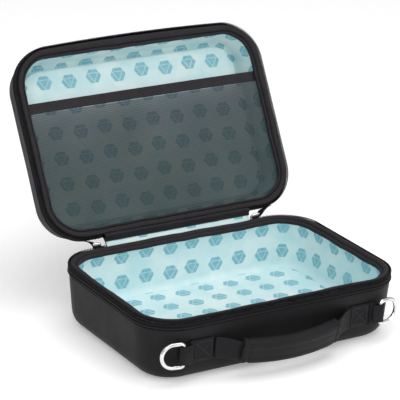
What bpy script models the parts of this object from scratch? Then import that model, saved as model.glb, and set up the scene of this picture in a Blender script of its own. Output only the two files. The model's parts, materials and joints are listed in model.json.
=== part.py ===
"""Zip-around carry case for tabletop miniatures, standing open on its base.

Metres, +Z up, origin at the centre of the base's bottom face, front handle towards -Y.
The lid is laid out closed and then turned back about its hinge axis by LID_OPEN.
"""
import math

import bmesh
import bpy
from mathutils import Vector

# --- Overall sizes of the base and the lid, measured at the rim -------------------------
WIDTH = 0.300
DEPTH = 0.2073
CORNER_RADIUS = 0.043
CORNER_STEPS = 8
WELD = 1e-6
BASE_HEIGHT = 0.0693
BASE_DRAFT = 0.006 / BASE_HEIGHT
BASE_EDGE_RADIUS = 0.019
BASE_LINING_RADIUS = 0.0075
LID_HEIGHT = 0.0438
LID_DRAFT = 0.0082 / LID_HEIGHT
LID_EDGE_RADIUS = 0.014
LID_LINING_RADIUS = 0.011
EDGE_STEPS = 5

# --- Layers of the walls, from the outside in ------------------------------------------
GAP = 0.0003
COVER = 0.0012
FOAM = 0.0040
LINING = 0.0008
BAND_HEIGHT = 0.01125
LINING_TOP = 0.0082
FLOOR_PAD = 0.0055
PAD_CORNER = 0.030
PAD_OVER_RADIUS = 0.7

# --- Strips round the rim: inset and depth below the rim plane ------------------------
TAPE_THICK = 0.0012
CHAIN_OUTSIDE = 0.0002
CHAIN_INSIDE = 0.0022
CHAIN_CHAMFER = 0.0006
BINDING_OUTSIDE = (0.0028, 0.0008)
BINDING_INSIDE = (0.0111, 0.0064)
BINDING_THICK = 0.0012

# --- Hinge ------------------------------------------------------------------------------
RIM_GAP = 0.001
HINGE_OUT = 0.00276
HINGE_UP = 0.00508
LID_OPEN = math.radians(119.8)
GUSSET_HALF = 0.088
HINGE_COVER_INSET = 0.0008
HINGE_COVER_THICK = 0.0012
HINGE_LINING_INSET = 0.00205
HINGE_LINING_THICK = 0.0007
HINGE_LINING_LOW = 0.004

# --- Zip --------------------------------------------------------------------------------
ZIP_END = 0.0885
CHAIN_END = 0.0913
CHAIN_HEIGHT = 0.0036
STOP_LENGTH = 0.0020
STOP_THICK = 0.0022
STOP_INSET = 0.0010
SOFT_EDGE = 0.0004
SLIDER_X = 0.098
SLIDER_LENGTH = 0.013
SLIDER_HEIGHT = 0.0105
SLIDER_PLATE = 0.0022
SLIDER_CLEAR = 0.0006
SLIDER_EDGE = 0.0007
BRIDGE_HALF = 0.0032
BRIDGE_WIRE = 0.0006
BRIDGE_OUT = 0.0046
BRIDGE_DROP = 0.002
PULL_LENGTH = 0.024
PULL_WIDTH = 0.006
PULL_THICK = 0.001
PULL_EYE_CLEAR = 0.0005

# --- Pocket in the lid ------------------------------------------------------------------
POCKET_DEPTH = 0.0087
POCKET_EDGE = 0.0090
POCKET_CORNER = 0.0375
POCKET_MESH = 0.0005
POCKET_MOUTH = 0.1395
POCKET_BAND = 0.011
POCKET_BAND_THICK = 0.0014

# --- Handle and shoulder-strap rings on the front ---------------------------------------
WEBBING = 0.025
WEBBING_THICK = 0.002
MOUNT_Z = 0.033
PATCH_X = 0.094
PATCH_WIDTH = 0.0265
PIVOT_OUT = 0.0018
HANDLE_DROOP = math.radians(16.0)
STRAP_START = (0.0802, 0.0016)
GRIP_HALF = 0.056
GRIP_END_OUT = 0.0125
GRIP_MIDDLE_OUT = 0.0215
GRIP_HEIGHT = 0.0220
GRIP_THICK = 0.0120
GRIP_COVER = 0.0012
GRIP_FOAM = 0.0022
GRIP_ROUNDING = 0.42
GRIP_TUCK = 0.001
WEBBING_NARROW = 0.46
NARROWING_RUN = 0.012
RING_WIRE = 0.0021
RING_CORNER = 0.003
RING_CLEAR = 0.001
RING_HALF_HEIGHT = 0.0121
RING_ARM = 0.0103
RING_X = 0.1162
RING_OUT = 0.00175
RING_TURN = math.radians(10.0)
LOOP_WIDTH = 0.0194
LOOP_RADIUS = 0.0043
LOOP_HOLE = 0.0026
LOOP_TAIL = 0.1079
LOOP_FLATTENED = 0.8

COLLECTION = "miniature_carry_case"
GUIDES = "guides"


def clear_scene():
    for thing in list(bpy.data.objects):
        bpy.data.objects.remove(thing, do_unlink=True)


def collection(name):
    made = bpy.data.collections.new(name)
    bpy.context.scene.collection.children.link(made)
    return made


def material(name, colour, roughness, metallic=0.0):
    made = bpy.data.materials.new(name)
    made.use_nodes = True
    shader = made.node_tree.nodes["Principled BSDF"]
    shader.inputs["Base Color"].default_value = (*colour, 1.0)
    shader.inputs["Roughness"].default_value = roughness
    shader.inputs["Metallic"].default_value = metallic
    return made


def add(name, data, finish, parent=None, location=(0, 0, 0), rotation=(0, 0, 0)):
    """One named object of the case, with its own material and place."""
    thing = bpy.data.objects.new(name, data)
    bpy.data.collections[COLLECTION].objects.link(thing)
    thing.parent = parent
    thing.location = location
    thing.rotation_euler = rotation
    data.materials.append(material(name, *FINISHES[finish]))
    return thing


def pivot(name, location, rotation=(0, 0, 0), parent=None):
    """An empty on a joint's axis, which carries the pieces that turn about it."""
    thing = bpy.data.objects.new(name, None)
    bpy.data.collections[GUIDES].objects.link(thing)
    thing.location = location
    thing.rotation_euler = rotation
    thing.parent = parent
    return thing


def solidify(thing, thickness):
    """Thickness added on the inner side of an open surface."""
    modifier = thing.modifiers.new("wall", "SOLIDIFY")
    modifier.thickness = thickness
    modifier.offset = -1.0
    modifier.use_even_offset = True


def mesh_from(name, builder):
    """A mesh filled by a function that takes an empty bmesh."""
    shape = bmesh.new()
    builder(shape)
    bmesh.ops.recalc_face_normals(shape, faces=shape.faces)
    data = bpy.data.meshes.new(name)
    shape.to_mesh(data)
    shape.free()
    return data


# --- Outlines ---------------------------------------------------------------------------
def arc(centre, radius, start, end, steps):
    """Points along a circular arc, angles in degrees."""
    angles = (math.radians(start + (end - start) * step / steps) for step in range(steps + 1))
    return [(centre[0] + radius * math.cos(a), centre[1] + radius * math.sin(a)) for a in angles]


def rounded_rectangle(width, depth, radius, steps=CORNER_STEPS):
    """Anticlockwise outline round the origin, from the left end of the rear edge."""
    x, y = width / 2 - radius, depth / 2 - radius
    points = []
    for quarter, centre in enumerate(((-x, y), (-x, -y), (x, -y), (x, y))):
        start = 90.0 * (quarter + 1)
        points += arc(centre, radius, start, start + 90.0, steps)
    return points


def zip_path(end):
    """The rim outline from one zip end round the front to the other."""
    rim = rounded_rectangle(WIDTH, DEPTH, CORNER_RADIUS)
    return [(-end, DEPTH / 2)] + rim + [(end, DEPTH / 2)]


def spline(curve, points, closed, radii=None):
    made = curve.splines.new("POLY")
    made.points.add(len(points) - 1)
    for index, point in enumerate(points):
        made.points[index].co = (point[0], point[1], 0.0, 1.0)
        made.points[index].radius = radii[index] if radii else 1.0
    made.use_cyclic_u = closed
    return made


def plate(name, outlines, thickness):
    """A flat plate centred on its own XY plane; the second outline is a hole."""
    curve = bpy.data.curves.new(name, "CURVE")
    curve.dimensions = "2D"
    curve.fill_mode = "BOTH"
    curve.extrude = thickness / 2
    for outline in outlines:
        spline(curve, outline, closed=True)
    return curve


def sweep(name, path, section, closed, caps=True, radii=None):
    """A section (outward, upward) carried along a path that lies in the XY plane."""
    side = -1 if closed else 1
    profile = bpy.data.curves.new(name + "_section", "CURVE")
    profile.dimensions = "2D"
    profile.fill_mode = "NONE"
    spline(profile, [(side * out, up) for out, up in section], closed=True)
    curve = bpy.data.curves.new(name + "_path", "CURVE")
    curve.dimensions = "2D"
    curve.bevel_mode = "OBJECT"
    curve.bevel_object = helper(name + "_section", profile)
    curve.use_fill_caps = caps and not closed
    spline(curve, path, closed, radii)
    swept = as_mesh(helper(name + "_path", curve))
    bpy.data.objects.remove(curve.bevel_object, do_unlink=True)
    return take_mesh(swept, name)


def helper(name, data, location=(0, 0, 0)):
    """An object that only shapes another one."""
    thing = bpy.data.objects.new(name, data)
    thing.location = location
    thing.hide_render = True
    thing.display_type = "WIRE"
    bpy.data.collections[GUIDES].objects.link(thing)
    return thing


def as_mesh(thing):
    """The evaluated shape of an object, welded, as a new mesh object in the same place."""
    bpy.context.view_layer.update()
    evaluated = thing.evaluated_get(bpy.context.evaluated_depsgraph_get())
    data = bpy.data.meshes.new_from_object(evaluated)
    shape = bmesh.new()
    shape.from_mesh(data)
    bmesh.ops.remove_doubles(shape, verts=shape.verts, dist=WELD)
    bmesh.ops.recalc_face_normals(shape, faces=shape.faces)
    shape.to_mesh(data)
    shape.free()
    made = helper(thing.name + "_mesh", data)
    made.matrix_world = thing.matrix_world
    bpy.data.objects.remove(thing, do_unlink=True)
    return made


def take_mesh(thing, name):
    """The mesh of a helper object in world coordinates; the helper is removed."""
    bpy.context.view_layer.update()
    data = thing.data
    data.transform(thing.matrix_world)
    data.materials.clear()
    data.name = name
    bpy.data.objects.remove(thing, do_unlink=True)
    return data


def box(name, size, bevel=0.0):
    """A block round its own origin, with its edges rounded off."""
    def build(shape):
        bmesh.ops.create_cube(shape, size=1.0)
        bmesh.ops.scale(shape, vec=Vector(size), verts=shape.verts)
        if bevel:
            bmesh.ops.bevel(
                shape, geom=shape.edges, offset=bevel, segments=2, profile=0.5, affect="EDGES"
            )
    return mesh_from(name, build)


# --- Moulded shells ---------------------------------------------------------------------
def tub(name, inset, top, bottom, draft, edge_radius):
    """Open tub below its rim plane z = 0: inset from the rim outline, walls leaning in."""
    def build(shape):
        bmesh.ops.create_cube(shape, size=2.0)
        for vert in shape.verts:
            depth = top if vert.co.z > 0 else bottom
            vert.co.x *= WIDTH / 2 - inset - draft * depth
            vert.co.y *= DEPTH / 2 - inset - draft * depth
            vert.co.z = -depth
        uprights = [e for e in shape.edges if e.verts[0].co.z != e.verts[1].co.z]
        bmesh.ops.bevel(
            shape, geom=uprights, offset=CORNER_RADIUS - inset, segments=CORNER_STEPS,
            profile=0.5, affect="EDGES",
        )
        shape.normal_update()
        lid_faces = [f for f in shape.faces if f.normal.z > 0.9]
        bmesh.ops.delete(shape, geom=lid_faces, context="FACES_ONLY")
        floor = next(f for f in shape.faces if f.normal.z < -0.9)
        bmesh.ops.bevel(
            shape, geom=list(floor.edges), offset=edge_radius, segments=EDGE_STEPS,
            profile=0.5, affect="EDGES",
        )
    data = mesh_from(name, build)
    data.shade_smooth()
    return data


def shell_set(prefix, height, draft, edge_radius, lining_radius, floor_rise, place):
    """Cover, foam and lining of one half, nested inside each other."""
    foam_inset = COVER + GAP
    lining_inset = foam_inset + FOAM + GAP
    lining_bottom = height - lining_inset - floor_rise
    layers = (
        ("cover", COVER, 0.0, BAND_HEIGHT + GAP / 2, height, edge_radius, "cover"),
        ("foam_shell", FOAM, foam_inset, BAND_HEIGHT + GAP, height - foam_inset,
         edge_radius - foam_inset, "foam"),
        ("lining", LINING, lining_inset, LINING_TOP, lining_bottom, lining_radius, "lining"),
    )
    for part, wall, inset, top, bottom, radius, finish in layers:
        name = f"{prefix}_{part}"
        thing = add(name, tub(name, inset, top, bottom, draft, radius), finish, **place)
        solidify(thing, wall)


def rim_set(prefix, place):
    """Zip tape, zip chain and inner binding of one half, in the frame of its rim plane."""
    low, high = -BAND_HEIGHT + GAP / 2, -CHAIN_HEIGHT - GAP
    tape = [(0, low), (0, high), (-TAPE_THICK, high), (-TAPE_THICK, low)]
    outer, inner, cut = CHAIN_OUTSIDE, -CHAIN_INSIDE, CHAIN_CHAMFER
    chain = [(outer, -CHAIN_HEIGHT), (outer, -cut), (outer - cut, 0), (inner + cut, 0),
             (inner, -cut), (inner, -CHAIN_HEIGHT)]
    edges = [(-inset, -depth) for inset, depth in (BINDING_OUTSIDE, BINDING_INSIDE)]
    binding = edges + [(out, up - BINDING_THICK) for out, up in reversed(edges)]
    rim = rounded_rectangle(WIDTH, DEPTH, CORNER_RADIUS)
    pieces = (
        ("zip_tape", zip_path(ZIP_END), tape, False, "tape"),
        ("zip_chain", zip_path(CHAIN_END), chain, False, "chain"),
        ("binding", rim, binding, True, "tape"),
    )
    for part, path, section, closed, finish in pieces:
        name = f"{prefix}_{part}"
        add(name, sweep(name, path, section, closed), finish, **place)


# --- Base -------------------------------------------------------------------------------
def base():
    place = {"location": (0, 0, BASE_HEIGHT)}
    shell_set("base", BASE_HEIGHT, BASE_DRAFT, BASE_EDGE_RADIUS, BASE_LINING_RADIUS,
              FLOOR_PAD + GAP, place)
    rim_set("base", place)
    under_pad = COVER + FOAM + 2 * GAP
    pad_inset = under_pad + BASE_DRAFT * BASE_HEIGHT + BASE_EDGE_RADIUS * PAD_OVER_RADIUS
    pad = rounded_rectangle(WIDTH - 2 * pad_inset, DEPTH - 2 * pad_inset, PAD_CORNER)
    add("base_floor_pad", plate("base_floor_pad", [pad], FLOOR_PAD), "foam",
        location=(0, 0, under_pad + FLOOR_PAD / 2))


def hinge():
    """Two layers of fabric that stand up behind the rim and join the lid to the base."""
    layers = (
        ("hinge_cover", HINGE_COVER_INSET, HINGE_COVER_THICK, -BAND_HEIGHT + GAP, "cover"),
        ("hinge_lining", HINGE_LINING_INSET, HINGE_LINING_THICK, -HINGE_LINING_LOW, "lining"),
    )
    for name, inset, thickness, low, finish in layers:
        height = HINGE_UP - low
        data = box(name, (2 * GUSSET_HALF - 2 * GAP, thickness, height))
        add(name, data, finish, location=(0, DEPTH / 2 - inset, BASE_HEIGHT + low + height / 2))


def zip_stops():
    for side, sign in (("left", -1), ("right", 1)):
        name = f"zip_stop_{side}"
        data = box(name, (STOP_LENGTH, STOP_THICK, CHAIN_HEIGHT - GAP), bevel=SOFT_EDGE)
        x = sign * (ZIP_END + CHAIN_END) / 2
        add(name, data, "metal",
            location=(x, DEPTH / 2 - STOP_INSET, BASE_HEIGHT - CHAIN_HEIGHT / 2 + GAP / 2))


# --- Lid --------------------------------------------------------------------------------
def lid():
    """Built upside down in its rim plane, then turned over and hung on the hinge axis."""
    axis = pivot("lid_hinge", (0, DEPTH / 2 + HINGE_OUT, BASE_HEIGHT + HINGE_UP), (-LID_OPEN, 0, 0))
    place = {
        "parent": axis,
        "location": (0, -DEPTH / 2 - HINGE_OUT, RIM_GAP - HINGE_UP),
        "rotation": (0, math.pi, 0),
    }
    shell_set("lid", LID_HEIGHT, LID_DRAFT, LID_EDGE_RADIUS, LID_LINING_RADIUS, 0.0, place)
    rim_set("lid", place)
    pocket(place)


def pocket(place):
    """Stretched mesh over the hinge side of the lid, with a bound edge at its mouth."""
    half = WIDTH / 2 - POCKET_EDGE
    mouth = DEPTH / 2 - POCKET_MOUTH
    centre = (half - POCKET_CORNER, DEPTH / 2 - POCKET_EDGE - POCKET_CORNER)
    outline = [(half, mouth + GAP)]
    outline += arc(centre, POCKET_CORNER, 0, 90, CORNER_STEPS)
    outline += arc((-centre[0], centre[1]), POCKET_CORNER, 90, 180, CORNER_STEPS)
    outline += [(-half, mouth + GAP)]
    mesh = add("pocket_mesh", plate("pocket_mesh", [outline], POCKET_MESH), "mesh", **place)
    band = add("pocket_band", box("pocket_band", (2 * half, POCKET_BAND, POCKET_BAND_THICK)),
               "tape", **place)
    hang(mesh, 0.0)
    hang(band, mouth - POCKET_BAND / 2)


def hang(thing, y):
    """Moves a piece of the lid to the pocket's depth, and along the lid by y."""
    thing.location = Vector(thing.location) + Vector((0, y, POCKET_DEPTH))


# --- Handle -----------------------------------------------------------------------------
def front_wall(z):
    """Where the front wall's outer face is at a height."""
    return -(DEPTH / 2 - BASE_DRAFT * (BASE_HEIGHT - z))


def patches():
    lean = math.atan(BASE_DRAFT)
    for side, sign in (("left", -1), ("right", 1)):
        name = f"handle_patch_{side}"
        out = front_wall(MOUNT_Z) - (WEBBING_THICK / 2 + GAP) / math.cos(lean)
        add(name, box(name, (PATCH_WIDTH, WEBBING_THICK, WEBBING), bevel=SOFT_EDGE), "webbing",
            location=(sign * PATCH_X, out, MOUNT_Z), rotation=(lean, 0, 0))


def grip_line(half, steps):
    """Points of the grip's bowed centre line, from -half to half."""
    rise = GRIP_MIDDLE_OUT - GRIP_END_OUT
    radius = (GRIP_HALF ** 2 + rise ** 2) / (2 * rise)
    points = []
    for step in range(steps + 1):
        x = half * (2 * step / steps - 1)
        drop = radius - math.sqrt(radius ** 2 - x ** 2)
        points.append((x, drop - GRIP_MIDDLE_OUT))
    return points


def strap_end(steps):
    """Points from the patch to the grip's left end, eased at both ends."""
    x0, y0 = -STRAP_START[0], -STRAP_START[1]
    x1, y1 = -GRIP_HALF, -GRIP_END_OUT
    points = []
    for step in range(steps):
        t = step / steps
        ease = t * t * (3 - 2 * t) * 0.5 + t * 0.5
        points.append((x0 + (x1 - x0) * t, y0 + (y1 - y0) * ease))
    return points


def handle():
    axis = pivot("handle_swing", (0, front_wall(MOUNT_Z) - PIVOT_OUT, MOUNT_Z),
                 (HANDLE_DROOP, 0, 0))
    left = strap_end(8)
    grip = grip_line(GRIP_HALF, 14)
    path = left + grip + [(-x, y) for x, y in reversed(left)]
    radii = []
    for x, _ in path:
        blend = min(1.0, max(0.0, (abs(x) - GRIP_HALF - GRIP_TUCK) / NARROWING_RUN))
        radii.append(WEBBING_NARROW + (1 - WEBBING_NARROW) * blend)
    half_thick, half_width = WEBBING_THICK / 2, WEBBING / 2
    strip = [(-half_thick, -half_width), (half_thick, -half_width), (half_thick, half_width),
             (-half_thick, half_width)]
    add("handle_webbing", sweep("handle_webbing", path, strip, False, radii=radii), "webbing",
        parent=axis)
    sleeves = (
        ("handle_grip_cover", GRIP_THICK, GRIP_HEIGHT, GRIP_COVER, GRIP_HALF, "cover"),
        ("handle_grip_foam", GRIP_THICK - 2 * (GRIP_COVER + GAP),
         GRIP_HEIGHT - 2 * (GRIP_COVER + GAP), GRIP_FOAM, GRIP_HALF - GRIP_TUCK, "foam"),
    )
    for name, thick, tall, wall, half, finish in sleeves:
        section = rounded_rectangle(thick, tall, thick * GRIP_ROUNDING, 3)
        tube = add(name, sweep(name, grip_line(half, 14), section, False, caps=False), finish,
                   parent=axis)
        solidify(tube, wall)


# --- Rings for the shoulder strap -------------------------------------------------------
def rings():
    ring_y = front_wall(MOUNT_Z) - RING_OUT - RING_WIRE - RING_CLEAR
    for side, sign in (("left", -1), ("right", 1)):
        ring_loop(side, sign, ring_y)
        turn = math.pi - RING_TURN if sign < 0 else RING_TURN
        name = f"dring_{side}"
        add(name, ring_wire(name), "metal", location=(sign * RING_X, ring_y, MOUNT_Z),
            rotation=(math.pi / 2, 0, turn))


def ring_wire(name):
    """A D of round wire: straight bar on the Y axis, two arms and a half circle towards +X."""
    corner = RING_CORNER
    half = RING_HALF_HEIGHT
    points = arc((corner, half - corner), corner, 180, 90, 3)
    points += arc((RING_ARM, 0), half, 90, -90, 14)
    points += arc((corner, corner - half), corner, 270, 180, 3)
    curve = bpy.data.curves.new(name, "CURVE")
    curve.dimensions = "3D"
    curve.bevel_depth = RING_WIRE
    curve.bevel_resolution = 3
    spline(curve, points, closed=True)
    return curve


def ring_loop(side, sign, ring_y):
    """Folded webbing round the ring's bar, sewn down behind the handle patch."""
    name = f"dring_loop_{side}"
    back = front_wall(MOUNT_Z + LOOP_WIDTH / 2) - GAP - ring_y
    front = -LOOP_RADIUS * LOOP_FLATTENED
    tail = RING_X - LOOP_TAIL
    outline = arc((0, 0), LOOP_RADIUS, 90, 270, 10)
    outline += [(tail, front), (tail, back)]
    hole = arc((0, 0), LOOP_HOLE, 0, 345, 23)
    outlines = [[(-sign * x, y) for x, y in points] for points in (outline, hole)]
    add(name, plate(name, outlines, LOOP_WIDTH), "webbing", location=(sign * RING_X, ring_y, MOUNT_Z))


# --- Zip sliders and pulls --------------------------------------------------------------
def sliders():
    corner = (WIDTH / 2 - CORNER_RADIUS, DEPTH / 2 - CORNER_RADIUS)
    for side, sign in (("left", -1), ("right", 1)):
        axis = pivot(f"slider_{side}_travel", (sign * corner[0], corner[1], BASE_HEIGHT))
        x = sign * (SLIDER_X - corner[0])
        out = DEPTH / 2 - corner[1] + SLIDER_CLEAR
        body = slider_body(f"zip_slider_{side}")
        add(f"zip_slider_{side}", body, "metal", parent=axis, location=(x, out, 0))
        hook = pivot(f"pull_{side}_swing", (x - sign * BRIDGE_HALF, out, -BRIDGE_DROP), parent=axis)
        pull_y = SLIDER_PLATE + (BRIDGE_OUT - SLIDER_PLATE - BRIDGE_WIRE) / 2
        add(f"zip_pull_{side}", pull_plate(f"zip_pull_{side}"), "metal", parent=hook,
            location=(0, pull_y, 0), rotation=(math.pi / 2, 0, 0))


def slider_body(name):
    """Outer plate of the slider with a wire bridge standing on it, joined into one body."""
    size = (SLIDER_LENGTH, SLIDER_PLATE, SLIDER_HEIGHT)
    body = helper(name + "_plate", box(name + "_plate", size, bevel=SLIDER_EDGE), (0, SLIDER_PLATE / 2, 0))
    curve = bpy.data.curves.new(name + "_bridge", "CURVE")
    curve.dimensions = "3D"
    curve.bevel_depth = BRIDGE_WIRE
    curve.bevel_resolution = 2
    curve.use_fill_caps = True
    inner = SLIDER_PLATE / 2
    bend = BRIDGE_WIRE * 2
    points = [(BRIDGE_HALF, inner)]
    points += arc((BRIDGE_HALF - bend, BRIDGE_OUT - bend), bend, 0, 90, 3)
    points += arc((bend - BRIDGE_HALF, BRIDGE_OUT - bend), bend, 90, 180, 3)
    points += [(-BRIDGE_HALF, inner)]
    spline(curve, points, closed=False)
    bridge = as_mesh(helper(name + "_bridge", curve, (0, 0, -BRIDGE_DROP)))
    union = body.modifiers.new("bridge", "BOOLEAN")
    union.operation = "UNION"
    union.object = bridge
    joined = as_mesh(body)
    bpy.data.objects.remove(bridge, do_unlink=True)
    return take_mesh(joined, name)


def pull_plate(name):
    """A flat tab with rounded ends and an eye that hangs on one leg of the bridge."""
    half = PULL_WIDTH / 2
    eye = BRIDGE_WIRE + PULL_EYE_CLEAR
    outline = arc((0, 0), half, 0, 180, 10)
    outline += arc((0, -PULL_LENGTH + 2 * half), half, 180, 360, 10)
    hole = arc((0, 0), eye, 0, 330, 11)
    return plate(name, [outline, hole], PULL_THICK)


FINISHES = {
    "cover": ((0.016, 0.016, 0.018), 0.55),
    "foam": ((0.05, 0.05, 0.055), 0.9),
    "lining": ((0.55, 0.76, 0.76), 0.7),
    "tape": ((0.025, 0.022, 0.025), 0.7),
    "chain": ((0.012, 0.012, 0.013), 0.4),
    "mesh": ((0.06, 0.07, 0.08), 0.6),
    "webbing": ((0.014, 0.014, 0.016), 0.75),
    "metal": ((0.75, 0.75, 0.78), 0.18, 1.0),
}


def main():
    clear_scene()
    collection(COLLECTION)
    collection(GUIDES)
    base()
    hinge()
    zip_stops()
    lid()
    patches()
    handle()
    rings()
    sliders()


main()
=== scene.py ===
"""Looks of the zip-around miniature carry case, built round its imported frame."""
import json
import math

import bmesh
import bpy
from mathutils import Matrix, Vector, noise


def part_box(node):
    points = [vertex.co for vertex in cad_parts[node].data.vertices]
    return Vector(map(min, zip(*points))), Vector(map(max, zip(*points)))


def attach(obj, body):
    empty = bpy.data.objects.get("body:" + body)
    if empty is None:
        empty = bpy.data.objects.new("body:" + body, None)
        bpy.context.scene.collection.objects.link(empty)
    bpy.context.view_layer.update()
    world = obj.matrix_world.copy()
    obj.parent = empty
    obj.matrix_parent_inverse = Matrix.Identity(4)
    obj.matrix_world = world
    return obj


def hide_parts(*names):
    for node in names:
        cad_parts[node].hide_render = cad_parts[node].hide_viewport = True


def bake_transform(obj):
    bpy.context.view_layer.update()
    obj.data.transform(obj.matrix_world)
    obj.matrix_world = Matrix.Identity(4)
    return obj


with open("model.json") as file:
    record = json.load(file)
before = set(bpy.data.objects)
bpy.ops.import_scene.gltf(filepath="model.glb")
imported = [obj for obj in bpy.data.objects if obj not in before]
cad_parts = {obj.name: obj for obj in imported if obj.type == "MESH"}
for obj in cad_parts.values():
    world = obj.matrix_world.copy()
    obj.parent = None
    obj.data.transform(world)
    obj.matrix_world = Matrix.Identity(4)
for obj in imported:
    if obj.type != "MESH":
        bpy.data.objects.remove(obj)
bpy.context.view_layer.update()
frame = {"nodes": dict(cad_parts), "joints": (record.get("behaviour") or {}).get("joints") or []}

MM = 0.001

# --- Camera and light -------------------------------------------------------------------
CAMERA_TARGET = (0.0258, 0.1045, 0.1000)
CAMERA_AZIMUTH = math.radians(-31.6)
CAMERA_ELEVATION = math.radians(20.38)
CAMERA_ROLL = math.radians(1.86)
CAMERA_DISTANCE = 2.4288
CAMERA_LENS = 205.7

# --- Places taken from the frame --------------------------------------------------------
TAPE_LOW, TAPE_HIGH = (Vector(corner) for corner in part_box("base_zip_tape"))
WIDTH = TAPE_HIGH.x - TAPE_LOW.x
DEPTH = TAPE_HIGH.y - TAPE_LOW.y
RIM_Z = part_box("base_zip_chain")[1][2]
JOINTS = {joint["name"]: joint for joint in frame["joints"]}
HINGE = Vector(JOINTS["lid_hinge"]["pos_m"])
LID_OPEN = -math.radians(JOINTS["lid_hinge"]["range_deg"][0])
HANDLE = Vector(JOINTS["handle_swing"]["pos_m"])

# --- Shapes of the two moulded halves ---------------------------------------------------
CORNER = 43 * MM
RIM_GAP = 1 * MM
BASE_DRAFT = 6 * MM / RIM_Z
BASE_FILLET = 19 * MM
LID_HEIGHT = 43.8 * MM
LID_DRAFT = 8.2 * MM / LID_HEIGHT
LID_FILLET = 14 * MM
LID_BOW = 3.2 * MM
BINDING_REACH = 11.6 * MM
COVER = 1.2 * MM
COVER_TUCK = 13.2 * MM
COVER_WALL = 14.5 * MM
FOAM_TOP = 11.6 * MM
LINING_TUCK = 15 * MM
LINING_WALL = 19 * MM
LINING_INSET = 6.6 * MM
LINING = 0.7 * MM
BASE_FLOOR = RIM_Z - 12.6 * MM
LID_FLOOR = LID_HEIGHT - LINING_INSET
ZIP_END = 88.5 * MM
CHAIN_END = 91.3 * MM
GUSSET_HALF = 87.5 * MM

BASE = Matrix.Translation((0, 0, RIM_Z))
LID = (
    Matrix.Translation(HINGE)
    @ Matrix.Rotation(-LID_OPEN, 4, "X")
    @ Matrix.Translation(Vector((0, 0, RIM_Z + RIM_GAP)) - HINGE)
    @ Matrix.Rotation(math.pi, 4, "Y")
)

HALF_X = WIDTH / 2 - CORNER
HALF_Y = DEPTH / 2 - CORNER
QUARTER = CORNER * math.pi / 2
RUNS = (
    (HALF_X, False), (QUARTER, True), (2 * HALF_Y, False), (QUARTER, True), (2 * HALF_X, False),
    (QUARTER, True), (2 * HALF_Y, False), (QUARTER, True), (HALF_X, False),
)
PERIMETER = sum(length for length, _ in RUNS)


# --- The rim's outline ------------------------------------------------------------------
def rim_at(distance, bow=0.0):
    """Point and outward direction on the rim, anticlockwise from the middle of the rear.

    Bow is how far the middle of the front edge stands out.
    """
    point = Vector((0, DEPTH / 2, 0))
    heading = math.pi
    left = min(max(distance, 0.0), PERIMETER)
    for length, turning in RUNS:
        step = min(left, length)
        if turning:
            centre = point + CORNER * Vector((-math.sin(heading), math.cos(heading), 0))
            heading += step / CORNER
            point = centre + CORNER * Vector((math.sin(heading), -math.cos(heading), 0))
        else:
            point = point + step * Vector((math.cos(heading), math.sin(heading), 0))
        left -= step
        if left <= 0:
            break
    outward = Vector((math.sin(heading), -math.cos(heading), 0))
    return point + outward * bow * bow_share(point, outward), outward


def bow_share(point, outward):
    """1 at the middle of the front edge, falling to nothing at its corners."""
    return max(0.0, -outward.y) * max(0.0, 1 - (point.x / (HALF_X + CORNER / 2)) ** 2)


def stations(start=0.0, stop=None, spacing=3 * MM, bow=0.0):
    """Evenly spaced (distance, point, outward) along the rim."""
    stop = PERIMETER if stop is None else stop
    count = max(2, round((stop - start) / spacing))
    marks = [start + (stop - start) * i / count for i in range(count + 1)]
    return [(mark, *rim_at(mark, bow)) for mark in marks]


def spine(point):
    """The nearest point of the middle line that the floor's faces close on."""
    reach = (WIDTH - DEPTH) / 2
    return Vector((min(max(point.x, -reach), reach), 0, 0))


def wall(height, draft, offset, radius, steps, start):
    """Section of a leaning wall and its fillet down to a floor, as (inset, depth)."""
    slope = math.sqrt(1 + draft * draft)
    centre = (offset + draft * (height - radius) + radius * slope, height - radius)
    lean = math.atan(draft)
    foot = height - radius * (1 - math.sin(lean))
    points = []
    for i in range(4):
        depth = start + (foot - start) * i / 4
        points.append((offset + draft * depth, depth))
    for i in range(steps + 1):
        angle = lean + (math.pi / 2 - lean) * i / steps
        points.append((centre[0] - radius * math.cos(angle), centre[1] + radius * math.sin(angle)))
    return points


# --- Mesh helpers -----------------------------------------------------------------------
def in_mm(points):
    return [(a * MM, b * MM) for a, b in points]


def smooth(t):
    """A share from 0 to 1, eased at both ends."""
    return t * t * (3 - 2 * t)


def distances(points):
    """Distance along a line of vectors at each of them."""
    total = [0.0]
    for a, b in zip(points, points[1:]):
        total.append(total[-1] + (b - a).length)
    return total


def into_scene(name, data):
    made = bpy.data.objects.new(name, data)
    bpy.context.scene.collection.objects.link(made)
    return made


def mesh_from(name, shape):
    """A mesh from a bmesh, which is freed."""
    data = bpy.data.meshes.new(name)
    shape.to_mesh(data)
    shape.free()
    return data


def close_ends(data):
    """Fills a mesh's open ends."""
    shape = bmesh.new()
    shape.from_mesh(data)
    bmesh.ops.holes_fill(shape, edges=[e for e in shape.edges if e.is_boundary], sides=0)
    bmesh.ops.recalc_face_normals(shape, faces=shape.faces)
    shape.to_mesh(data)
    shape.free()


def link(name, data, finish):
    made = into_scene(name, data)
    data.materials.append(FINISHES[finish])
    data.shade_smooth()
    return made


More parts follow.
